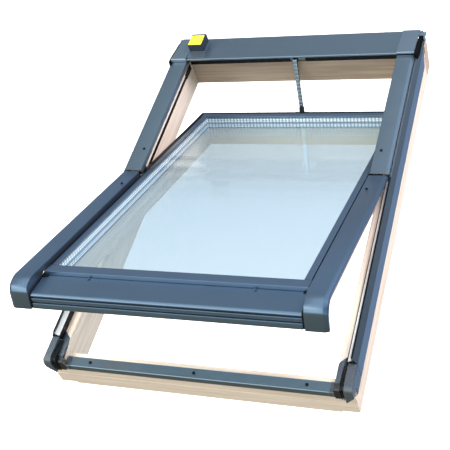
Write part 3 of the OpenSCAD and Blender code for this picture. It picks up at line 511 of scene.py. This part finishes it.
def spacerBar(name, s):
    # rolled spacer bar: pale film-covered metal with rows of small holes for the drying agent, as
    # round cells on a lattice; the holes are drawn wider apart than real ones, so that they show
    m, t = newMaterial(name)
    place = addNode(t, "ShaderNodeTexCoord").outputs["Object"]
    mapped = addNode(t, "ShaderNodeMapping", {
        "vector_type": "TEXTURE", "Rotation": (math.radians(-hinge["openAngle"]), 0, 0),
        "Location": (0, hinge["height"] * 0.001, hinge["depth"] * 0.001), "Scale": s["pitch"]}, {
        "Vector": place})
    shifted = addNode(t, "ShaderNodeVectorMath", {"operation": "ADD", 1: s["shift"]}, {
        0: mapped.outputs[0]})
    cell = addNode(t, "ShaderNodeTexVoronoi", {"Scale": 1.0, "Randomness": 0.0}, {
        "Vector": shifted.outputs[0]})
    colour = ramp(t, cell.outputs["Distance"], (
        (0.0, s["hole"]), (s["holeSize"], s["hole"]), (s["holeSize"] + s["holeEdge"], s["bar"]),
        (1.0, s["bar"])))
    # painted light: the bar and its holes glow faintly in their own colour, brighter than the light
    # inside the unit makes them
    finishMaterial(t, addNode(t, "ShaderNodeBsdfPrincipled", {
        "Roughness": s["rough"], "Emission Strength": s["glow"]}, {
        "Base Color": colour, "Emission Color": colour}))
    return m


sensing = {"film": "#efdd42", "border": "#cdbd28", "centre": (-0.3038, 1.1268, 0.0),
           "halfBorder": 0.0145, "borderWidth": 0.0012, "rough": 0.35}


def sensingFilm(name, s):
    # yellow film over the sensor's electrodes, whose square border shows through: a band where the
    # greater of X and Y from the centre is halfBorder
    m, t = newMaterial(name)
    place = addNode(t, "ShaderNodeTexCoord").outputs["Object"]
    moved = addNode(t, "ShaderNodeMapping", {"Location": tuple(-v for v in s["centre"])}, {
        "Vector": place})
    away = addNode(t, "ShaderNodeVectorMath", {"operation": "ABSOLUTE"}, {0: moved.outputs[0]})
    split = addNode(t, "ShaderNodeSeparateXYZ", links={0: away.outputs[0]})
    reach = addNode(t, "ShaderNodeMath", {"operation": "MAXIMUM"}, {
        0: split.outputs["X"], 1: split.outputs["Y"]})
    near = addNode(t, "ShaderNodeMath", {
        "operation": "COMPARE", 1: s["halfBorder"], 2: s["borderWidth"]}, {0: reach.outputs[0]})
    colour = ramp(t, near.outputs[0], ((0.0, s["film"]), (1.0, s["border"])))
    finishMaterial(t, addNode(t, "ShaderNodeBsdfPrincipled", {"Roughness": s["rough"]}, {
        "Base Color": colour}))
    return m


# painted light and shade: the hood's ends take a paler copy and the sash a darker, bluer copy of
# the frame's lacquered aluminium, to match how light falls on them
material = {
    "frame_cladding": lacquer("greyLacqueredAluminium", "#8394a1", metallicLacquer),
    "hood_end_cladding": lacquer("paleLacqueredAluminium", "#93a4b1", metallicLacquer),
    "sash_cladding": lacquer("blueGreyLacqueredAluminium", "#748aa0", metallicLacquer),
    "corner_plastic": moulded("greyAcrylicPlastic", "#424e58", plasticLike(rough=0.28, ior=1.8)),
    "black_rubber": moulded("blackSealRubber", "#0c0f12", plasticLike(rough=0.55, ior=1.4)),
    "foam": moulded("blackCellFoam", "#07090b", plasticLike(rough=0.9, ior=1.3, relief=0.5)),
    "fins": moulded("glossyBlackFinRubber", "#161b1f", plasticLike(rough=0.22, ior=1.7)),
    "oiled_steel": steel("oiledChainSteel", "#2c353c", 0.4),
    "white_seal": moulded("whiteBrushSeal", "#e4e9ea", plasticLike(rough=0.7, grain=0.002)),
    "clear_glass": floatGlass("clearFloatGlass", glazing),
    "spacer_bar": spacerBar("perforatedSpacerBar", perforation),
    "butyl": moulded("tealButylSealant", "#1f4f68", plasticLike(rough=0.45)),
    "sensor_housing": moulded("darkBluePolycarbonate", "#222b38", plasticLike(rough=0.4)),
    "sensing_plate": sensingFilm("yellowSensingFilm", sensing),
    "opener_casing": moulded("blackGlassFilledNylon", "#202326", plasticLike()),
    "bright_steel": steel("zincPlatedSteel", "#a0aeb7", 0.4),
    "dark_screws": steel("blackenedSteel", "#3b454d", 0.42),
}
# painted shade: the head rail takes a darker, browner copy of the pine, which stands in for the
# hood's shade on it
shadedPine = {**pine, "dark": "#a08c7a", "middle": "#b09d8a", "light": "#bfae9b", "pale": "#d0c1b0"}
timber = {(along, body): woodGrain(f"lacqueredPine{body.capitalize()}{along.upper()}",
                                   along, body, pine)
          for along in "xy" for body in ("frame", "sash")}
paintedShadeHeadTimber = woodGrain("lacqueredPineHead", "x", "frame", shadedPine)
# painted light: the sash's top rail takes a paler copy of the pine, which stands in for light that
# its face does not get
paintedLightPine = {**pine, "dark": "#ecdabb", "middle": "#f5e5c8", "light": "#fbeeda", "pale": "#fff8ea"}
paintedLightSashTimber = woodGrain("lacqueredPineSash", "x", "sash", paintedLightPine)
grainAlong = {"sill_rail": "x", "head_rail": "x", "left_rail": "y", "right_rail": "y",
              "sash_bottom_rail": "x", "sash_top_rail": "x", "sash_left_rail": "y",
              "sash_right_rail": "y"}
print("materials ready")

slotOf = {part["node"]: part["material_slot"] for part in frame["record"]["subparts"]}
bodyOf = {n: body for body, names in frame["record"]["behaviour"]["bodies"].items() for n in names}
for node, slotName in slotOf.items():
    mesh = nodes[node].data
    mesh.materials.clear()
    mesh.materials.append(paintedShadeHeadTimber if node == "head_rail"
                          else paintedLightSashTimber if node == "sash_top_rail"
                          else timber[grainAlong[node], bodyOf[node]] if node in grainAlong
                          else material[slotName])


def plainName(node):
    # left_side_profile becomes leftSideProfile
    words = node.split("_")
    return words[0] + "".join(w.capitalize() for w in words[1:])


def softenedCopy(node, soften, finish=None):
    # a merged copy of a CAD solid with its edges rounded
    mesh = nodes[node].data.copy()
    mesh.name = plainName(node)
    form = bmesh.new()
    form.from_mesh(mesh)
    bmesh.ops.remove_doubles(form, verts=form.verts, dist=1e-6)
    bmesh.ops.dissolve_limit(form, angle_limit=math.radians(1), verts=form.verts, edges=form.edges)
    bmesh.ops.recalc_face_normals(form, faces=form.faces)
    form.to_mesh(mesh)
    form.free()
    if finish:
        mesh.materials.clear()
        mesh.materials.append(finish)
    return finishPiece(plainName(node), mesh, bodyOf[node], (node,), soften)


# radius of the edges in millimetres
roundings = {
    1.6: ("sill_rail", "head_rail", "left_rail", "right_rail", "sash_top_rail", "sash_bottom_rail",
          "sash_left_rail", "sash_right_rail"),
    2.2: ("left_corner_shell", "right_corner_shell"),
    0.5: ("sensor_plate", "left_side_profile", "right_side_profile", "sill_cover_laps",
          "chain_exit_plate"),
    1.2: ("rain_sensor",),
}
for soften, group in roundings.items():
    for node in group:
        softenedCopy(node, soften)
finRounding = 0.45
for side, sign in sides:
    softenedCopy(f"{side}_corner_fins", finRounding, material["fins"])
print("timber and mouldings ready")

# Side covers: 51 mm wide channels of 1.6 mm sheet
cover = {"inner": 326.5, "outer": 377.5, "top": 141.0, "sheet": 1.6, "fold": 2.0,
         "chamferWidth": 9.0, "chamferDrop": 3.0, "chamferBend": 1.0, "innerFlange": 124.0,
         "outerFlange": 131.0, "foot": 6.0, "footBend": 1.2, "lowerEnd": 606.0, "upperEnd": 1092.0,
         "soften": 0.3}


def addFrameCovers(s):
    # the channel's section, with its folds rounded, carried along Y between its two ends
    line = bend([(s["outer"], s["outerFlange"]), (s["outer"], s["top"] - s["chamferDrop"]),
                 (s["outer"] - s["chamferWidth"], s["top"]), (s["inner"], s["top"]),
                 (s["inner"], s["innerFlange"]), (s["inner"] + s["foot"], s["innerFlange"])],
                (0, s["fold"], s["chamferBend"], s["fold"], s["footBend"], 0))
    verts, faces = sweep(sheetLoop(line, s["sheet"]), "y", s["lowerEnd"], s["upperEnd"])
    for side, sign in sides:
        addPiece(f"{side}FrameCover", mirrored(verts, sign), faces, material["frame_cladding"],
                 "frame", (f"{side}_frame_cover",), soften=s["soften"])


addFrameCovers(cover)

# Sash covers: the same channel, bent down over the lower corner. Each line is (Y, Z) from the upper
# end down to the front edge; a fold's column is (distance from the edge, share of the way down it)
nose = {"upperEnd": 593.0, "bendStart": 4.0, "shoulder": (-23.5, 126.5), "frontFace": -27.4,
        "brow": 113.0, "frontBottom": 69.0, "topBends": (0, 15, 12, 3, 0),
        "innerLine": ((46, 124), (46, 116.8), (-16.3, 104.7), (-16.3, 69)),
        "outerLine": ((8, 131), (-4, 123), (-17, 105), (-17, 69)), "edgeBend": 0.6, "bendSteps": 9,
        "foldShare": 0.17, "foldColumns": 6,
        "outerFold": ((0, 1.0), (0, 0.62), (0.15, 0.42), (0.8, 0.30), (8.4, 0.015), (9.6, 0.0)),
        "rim": 0.6, "rimSegments": 2, "rimAngle": 50.0}


def addSashCovers(c, s):
    # grid: stations run down the cover and round its nose, columns run across from cheek to cheek;
    # a point lies between the top line and the cheek's edge line by its column's share
    top = bend([(s["upperEnd"], c["top"]), (s["bendStart"], c["top"]), s["shoulder"],
                (s["frontFace"], s["brow"]), (s["frontFace"], s["frontBottom"])],
               s["topBends"], s["bendSteps"])
    innerEdge, outerEdge = (
        bend([(s["upperEnd"], c[flange]), *s[line]], s["edgeBend"], s["bendSteps"])
        for flange, line in (("innerFlange", "innerLine"), ("outerFlange", "outerLine")))
    u = np.linspace(0, 1, s["foldColumns"])
    fold = np.column_stack((u ** 2 * c["fold"], (1 - u) ** 2 * s["foldShare"]))
    inner = np.concatenate(([[0, 1.0]], fold))
    outer = np.array(s["outerFold"])
    x = np.concatenate((c["inner"] + inner[:, 0], (c["outer"] - outer[:, 0])[::-1]))
    share = np.concatenate((inner[:, 1], outer[::-1, 1]))[None, :, None]
    onInner = (np.arange(len(x)) < len(inner))[None, :, None]
    edge = np.where(onInner, innerEdge[:, None], outerEdge[:, None])
    yz = top[:, None] * (1 - share) + edge * share
    verts = np.concatenate((np.broadcast_to(x[None, :, None], (len(top), len(x), 1)), yz), axis=2)
    faces = gridFaces(len(top), len(x), False)
    for side, sign in sides:
        piece = addPiece(f"{side}SashCover", mirrored(verts, sign),
                         faces if sign > 0 else [q[::-1] for q in faces], material["sash_cladding"],
                         "sash", (f"{side}_sash_cover",), closed=False)
        wall = piece.modifiers.new("sheet", "SOLIDIFY")
        wall.thickness = c["sheet"] * 0.001
        wall.offset = -1
        rim = piece.modifiers.new("rim", "BEVEL")
        rim.width = s["rim"] * 0.001
        rim.segments = s["rimSegments"]
        rim.limit_method = "ANGLE"
        rim.angle_limit = math.radians(s["rimAngle"])


addSashCovers(cover, nose)

# Hood: one middle sheet and two raised ends, each folded down in front
hood = {"front": 1062.0, "rear": 1181.9, "top": 150.0, "rearTop": 131.0, "flange": 109.0,
        "lip": 143.0, "lipDepth": 9.0, "sheet": 1.6, "half": 326.2, "bends": (0, 3, 3.3, 1.5, 0),
        "bendSteps": 9, "soften": 0.25}
hoodEnd = {**hood, "front": 1060.0, "top": 154.0, "rearTop": 133.8, "lip": 141.4,
           "inner": 326.5, "outer": 376.5, "bends": (0, 3, 9, 1.5, 0)}


def hoodLine(s):
    # the sheet's section in (Y, Z): up the rear flange, over the top, down to the lip and back
    line = [(s["rear"], s["flange"]), (s["rear"], s["rearTop"]), (s["front"], s["top"]),
            (s["front"], s["lip"]), (s["front"] + s["lipDepth"], s["lip"])]
    return sheetLoop(bend(line, s["bends"], s["bendSteps"]), s["sheet"])


def addHood(middle, end):
    # each section carried along X; the right end's CAD piece stays, for its foot and upright plate
    verts, faces = sweep(hoodLine(middle), "x", -middle["half"], middle["half"])
    addPiece("hoodSheet", verts, faces, material["frame_cladding"], "frame",
             ("hood",), soften=middle["soften"])
    verts, faces = sweep(hoodLine(end), "x", end["inner"], end["outer"])
    addPiece("leftHoodEnd", mirrored(verts, -1), faces, material["hood_end_cladding"], "frame",
             ("left_hood_end",), soften=end["soften"])
    addPiece("rightHoodEndSheet", verts, faces, material["hood_end_cladding"], "frame",
             (), soften=end["soften"])


addHood(hood, hoodEnd)

# Ribbed profile along the sash's lower edge
ribbed = {"half": 321.5, "outline": (
    (45, 116.3), (45, 118.5), (-15, 109.5), (-21, 107.9), (-24, 104), (-24, 101), (-17.8, 100.4),
    (-17.8, 97.2), (-24.2, 96.4), (-24, 88.5), (-17.8, 88.2), (-17.8, 84.4), (-24.2, 83.6),
    (-24, 69.5), (-18, 69.5), (-16.3, 72.5), (-16.3, 104.3)),
    "bends": (0.3, 0.8, 4, 3, 2.4, 1, 0.8, 0.8, 1, 1, 0.8, 0.8, 1, 0.8, 0.8, 1, 2), "bendSteps": 5}


def addRibbedProfile(s):
    # the outline in (Y, Z), with its corners rounded, carried along X
    loop = bend(s["outline"], s["bends"], s["bendSteps"], True)
    verts, faces = sweep(loop, "x", -s["half"], s["half"])
    addPiece("sashBottomProfile", verts, faces, material["sash_cladding"], "sash",
             ("sash_bottom_profile",))


addRibbedProfile(ribbed)

# Rubber cushions that close the slit between the lower bead's ends and the sash covers
cushion = {"inner": 317.5, "outer": 326.2, "bend": 1.2, "bendSteps": 5,
           "outline": ((42, 116.2), (58, 116.2), (58, 119.4), (42, 119.4))}


def addCushions(s):
    # a rounded rectangle in (Y, Z) carried along X
    loop = bend(s["outline"], s["bend"], s["bendSteps"], True)
    verts, faces = sweep(loop, "x", s["inner"], s["outer"])
    for side, sign in sides:
        addPiece(f"{side}CornerCushion", mirrored(verts, sign), faces, material["black_rubber"],
                 "sash")


addCushions(cushion)

# Glazing beads: a flat top that rests on the glass, rounded over its outer edge
bead = {"foot": 116.0, "under": 126.6, "top": 129.0, "wall": 1.6, "half": 319.4, "sideOuter": 317.4,
        "sideInner": 301.4, "bottomEdges": (46.0, 77.0), "topEdges": (1080.0, 1055.0), "seam": 0.3,
        "bends": (0.2, 0.2, 0.6, 0.3, 0.9, 0.7), "bendSteps": 5}


def beadLoop(s, outer, inner):
    # the bead's section: an upright wall at its outer edge and a flat top to its inner edge
    wall = outer + math.copysign(s["wall"], inner - outer)
    return bend([(outer, s["foot"]), (wall, s["foot"]), (wall, s["under"]), (inner, s["under"]),
                 (inner, s["top"]), (outer, s["top"])], s["bends"], s["bendSteps"], True)


def addBeads(s):
    # the section carried along X for the lower and upper bead, along Y for the two at the sides
    for name, node, edges in (("bottomBead", "bottom_bead", s["bottomEdges"]),
                              ("topBead", "top_bead", s["topEdges"])):
        verts, faces = sweep(beadLoop(s, *edges), "x", -s["half"], s["half"])
        addPiece(name, verts, faces, material["sash_cladding"], "sash", (node,))
    verts, faces = sweep(beadLoop(s, s["sideOuter"], s["sideInner"]), "y",
                         s["bottomEdges"][1] + s["seam"], s["topEdges"][1] - s["seam"])
    for side, sign in sides:
        addPiece(f"{side}Bead", mirrored(verts, sign), faces, material["sash_cladding"],
                 "sash", (f"{side}_bead",))


addBeads(bead)
print("cladding ready")

# Corner plates: a plate over the rail's end with a tapering fold down its inner face, and an apron
# that runs forward and down in front of the rail
cornerPlate = {"outer": 366.7, "inner": 346.4, "top": 106.5, "rear": 82.0, "foldRear": 58.0,
               "front": 9.5, "foldDepth": 11.0, "foldTaper": 0.9, "bend": 1.4, "bendSteps": 6,
               "rows": 14, "thickness": 1.4, "apronSides": (344.9, 359.5), "apronBend": 1.8,
               "apronLine": ((11.5, 104.4), (-1.5, 100.5), (-5.0, 98.0), (-5.0, 66.5))}


def addCornerPlates(s):
    # grid: columns run across the plate and down its fold, rows from front to rear; the fold's drop
    # shrinks with the row's share v to the power 1.3 and its rear end runs out in a curve
    across = bend([(s["outer"], s["top"]), (s["inner"], s["top"]),
                   (s["inner"], s["top"] - s["foldDepth"])], s["bend"], s["bendSteps"])
    k = np.clip((s["outer"] - across[:, 0]) / (s["outer"] - s["inner"]), 0, 1)
    rear = s["rear"] + (s["foldRear"] - s["rear"]) * np.clip(k * 2.0 - 1.0, 0, 1) ** 1.5
    v = np.linspace(0, 1, s["rows"])[:, None]
    y = s["front"] + v * (rear - s["front"])
    drop = (s["top"] - across[:, 1]) * (1 - s["foldTaper"] * v ** 1.3)
    verts = np.stack(np.broadcast_arrays(across[None, :, 0], y, s["top"] - drop), axis=2)
    faces = gridFaces(s["rows"], len(across), False)
    line = bend(s["apronLine"], s["apronBend"], s["bendSteps"])
    apron = sweep(sheetLoop(line, -s["thickness"]), "x", *s["apronSides"])
    for side, sign in sides:
        piece = addPiece(f"{side}CornerPlate", mirrored(verts, sign),
                         faces if sign > 0 else [q[::-1] for q in faces],
                         material["corner_plastic"], "frame",
                         (f"{side}_corner_plate",), closed=False)
        wall = piece.modifiers.new("wall", "SOLIDIFY")
        wall.thickness = s["thickness"] * 0.001
        wall.offset = -1
        addPiece(f"{side}CornerApron", mirrored(apron[0], sign), apron[1], material["fins"],
                 "frame")


addCornerPlates(cornerPlate)

# Spacers: mitred bars with rounded shoulders round the edge of the glass
spacer = {"half": 311.9, "bottom": 66.5, "top": 1065.5, "width": 9.0, "bend": 1.3, "bendSteps": 4,
          "levels": {"innerSpacer": ("inner_spacer", 92.35, 104.25),
                     "outerSpacer": ("outer_spacer", 108.35, 122.25)}}


def ring(section, half, bottom, top):
    # a section of (distance inwards, Z) carried round a rectangle, with mitred corners
    inwards, z = section[None, :, 0], section[None, :, 1]
    signX, signY = np.array([-1, 1, 1, -1])[:, None], np.array([-1, -1, 1, 1])[:, None]
    x = signX * (half - inwards)
    y = np.where(signY < 0, bottom + inwards, top - inwards)
    verts = np.stack(np.broadcast_arrays(x, y, z), axis=2)
    rows = np.concatenate((verts, verts[:1]))
    return rows, gridFaces(5, section.shape[0], True)


def addSpacers(s):
    # a rounded rectangle between two heights, carried round the glass
    for name, (node, low, high) in s["levels"].items():
        section = bend([(0, low), (s["width"], low), (s["width"], high), (0, high)],
                       s["bend"], s["bendSteps"], True)
        verts, faces = ring(section, s["half"], s["bottom"], s["top"])
        addPiece(name, verts, faces, material["spacer_bar"], "sash", (node,))


addSpacers(spacer)

# Butyl sealant: thin dark lines where the spacers meet the panes, each from near to far inwards
# and from low to high
sealant = {"innerPaneLine": (9.0, 12.2, 92.32, 92.9), "middlePaneLine": (9.0, 10.4, 103.7, 104.28),
           "outerPaneLine": (9.0, 10.0, 121.8, 122.28)}


def addSealant(s):
    # a flat rectangle carried round the glass
    for name, (near, far, low, high) in s.items():
        section = np.array([(near, low), (far, low), (far, high), (near, high)])
        verts, faces = ring(section, spacer["half"], spacer["bottom"], spacer["top"])
        addPiece(name, verts, faces, material["butyl"], "sash")


addSealant(sealant)

# Foam: soft wedges beside the hood's ends. Pads in the gap between the covers are painted shade:
# black blocks that darken that gap. The section is in shares of the wedge's width and height
foam = {"inner": 376.9, "outer": 387.8, "front": 1056.0, "rear": 1176.0, "topFront": 151.0,
        "topRear": 131.5, "foot": 124.0, "section": ((0, 0), (1, 0), (1, 0.55), (0.7, 1), (0, 1)),
        "bends": (0.1, 0.1, 0.2, 0.15, 0.05), "bendSteps": 5, "rows": 12, "pinch": 0.25,
        "padY": (594.5, 612.0), "padZ": (124.5, 129.0), "padX": (330.0, 376.0), "padBend": 1.5}


def addFoam(s):
    # grid: columns go round the wedge's section, rows run up the slope as its top comes down; both
    # ends are pinched narrower by a high power of the cosine
    section = bend(s["section"], s["bends"], s["bendSteps"], True)
    v = np.linspace(0, 1, s["rows"])[:, None]
    height = s["topFront"] + (s["topRear"] - s["topFront"]) * v - s["foot"]
    width = (s["outer"] - s["inner"]) * (1 - s["pinch"] * np.cos(np.pi * v) ** 12)
    x = s["inner"] + section[None, :, 0] * width
    y = s["front"] + (s["rear"] - s["front"]) * v + 0 * x
    verts = np.stack((x, y, s["foot"] + section[None, :, 1] * height), axis=2)
    n, total = len(section), s["rows"] * len(section)
    ends = [list(range(n)), list(range(total - 1, total - n - 1, -1))]
    faces = gridFaces(s["rows"], n, True) + ends
    near, far = s["padY"]
    low, high = s["padZ"]
    pad = sweep(bend([(near, low), (far, low), (far, high), (near, high)],
                     s["padBend"], s["bendSteps"], True), "x", *s["padX"])
    for side, sign in sides:
        addPiece(f"{side}FoamWedge", mirrored(verts, sign), faces, material["foam"], "frame",
                 (f"{side}_foam_block",))
        # painted shade: a black pad that darkens the gap between the frame and sash covers
        addPiece(f"{side}GapShadePad", mirrored(pad[0], sign), pad[1], material["foam"], "frame")


addFoam(foam)

# Push chain from the head to the sash: each link has a back plate, two side plates and a cross pin.
chain = {"start": (1118.5, 90.0), "end": (1070.0, -62.4), "links": 13, "width": 12.6,
         "narrow": 0.88, "reach": 2.7, "plate": 1.5, "pin": 1.5, "pinEnd": 0.5, "linkGap": 0.4,
         "backProud": 0.1, "backBend": 0.5, "backSteps": 3, "roundSteps": 20,
         "exit": (0, 1.12335, 0.10525), "squashTo": 0.02}


def addChain(s):
    # outlines in (distance down the chain, distance out of it) carried along X, one copy per link;
    # every second link is narrower
    start, end = np.array(s["start"]), np.array(s["end"])
    pitch = np.linalg.norm(end - start) / s["links"]
    down = (end - start) / np.linalg.norm(end - start)
    out = np.array((down[1], -down[0]))
    a = np.linspace(0, 2 * np.pi, s["roundSteps"], endpoint=False)
    oval = np.column_stack((s["reach"] * np.cos(a) + np.where(np.cos(a) > 0, pitch, 0),
                            s["reach"] * np.sin(a)))
    near, far = s["linkGap"], pitch - s["linkGap"]
    low, high = s["reach"] - s["plate"], s["reach"] + s["backProud"]
    back = bend([(near, low), (far, low), (far, high), (near, high)],
                s["backBend"], s["backSteps"], True)
    pin = s["pin"] * np.column_stack((np.cos(a), np.sin(a)))
    half = s["width"] / 2
    order = np.arange(s["links"])
    narrow = np.where(order % 2, s["narrow"], 1.0)
    parts = {"chainBacks": ([], []), "chainSides": ([], [])}
    for group, outline, left, right in (
            ("chainBacks", back, -half, half),
            ("chainSides", oval, half - s["plate"], half),
            ("chainSides", oval, -half, s["plate"] - half),
            ("chainSides", pin, -half - s["pinEnd"], half + s["pinEnd"])):
        verts, faces = sweep(start + outline[:, :1] * down + outline[:, 1:] * out, "x", left, right)
        copies = np.repeat(verts[None], s["links"], 0)
        copies[:, :, 0] *= narrow[:, None]
        copies[:, :, 1:] += (order[:, None] * pitch * down)[:, None]
        points, polygons = parts[group]
        base = sum(len(v) for v in points)
        points.append(copies.reshape(-1, 3))
        polygons.extend([base + k * len(verts) + i for i in f]
                        for k in order.tolist() for f in faces)
    for name, finish, stands in (("chainBacks", "bright_steel", ("drive_chain",)),
                                 ("chainSides", "oiled_steel", ())):
        points, polygons = parts[name]
        piece = addPiece(name, np.concatenate(points), polygons, material[finish], "frame",
                         stands)
        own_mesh(piece)


addChain(chain)
print("corner plates, spacers and chain ready")
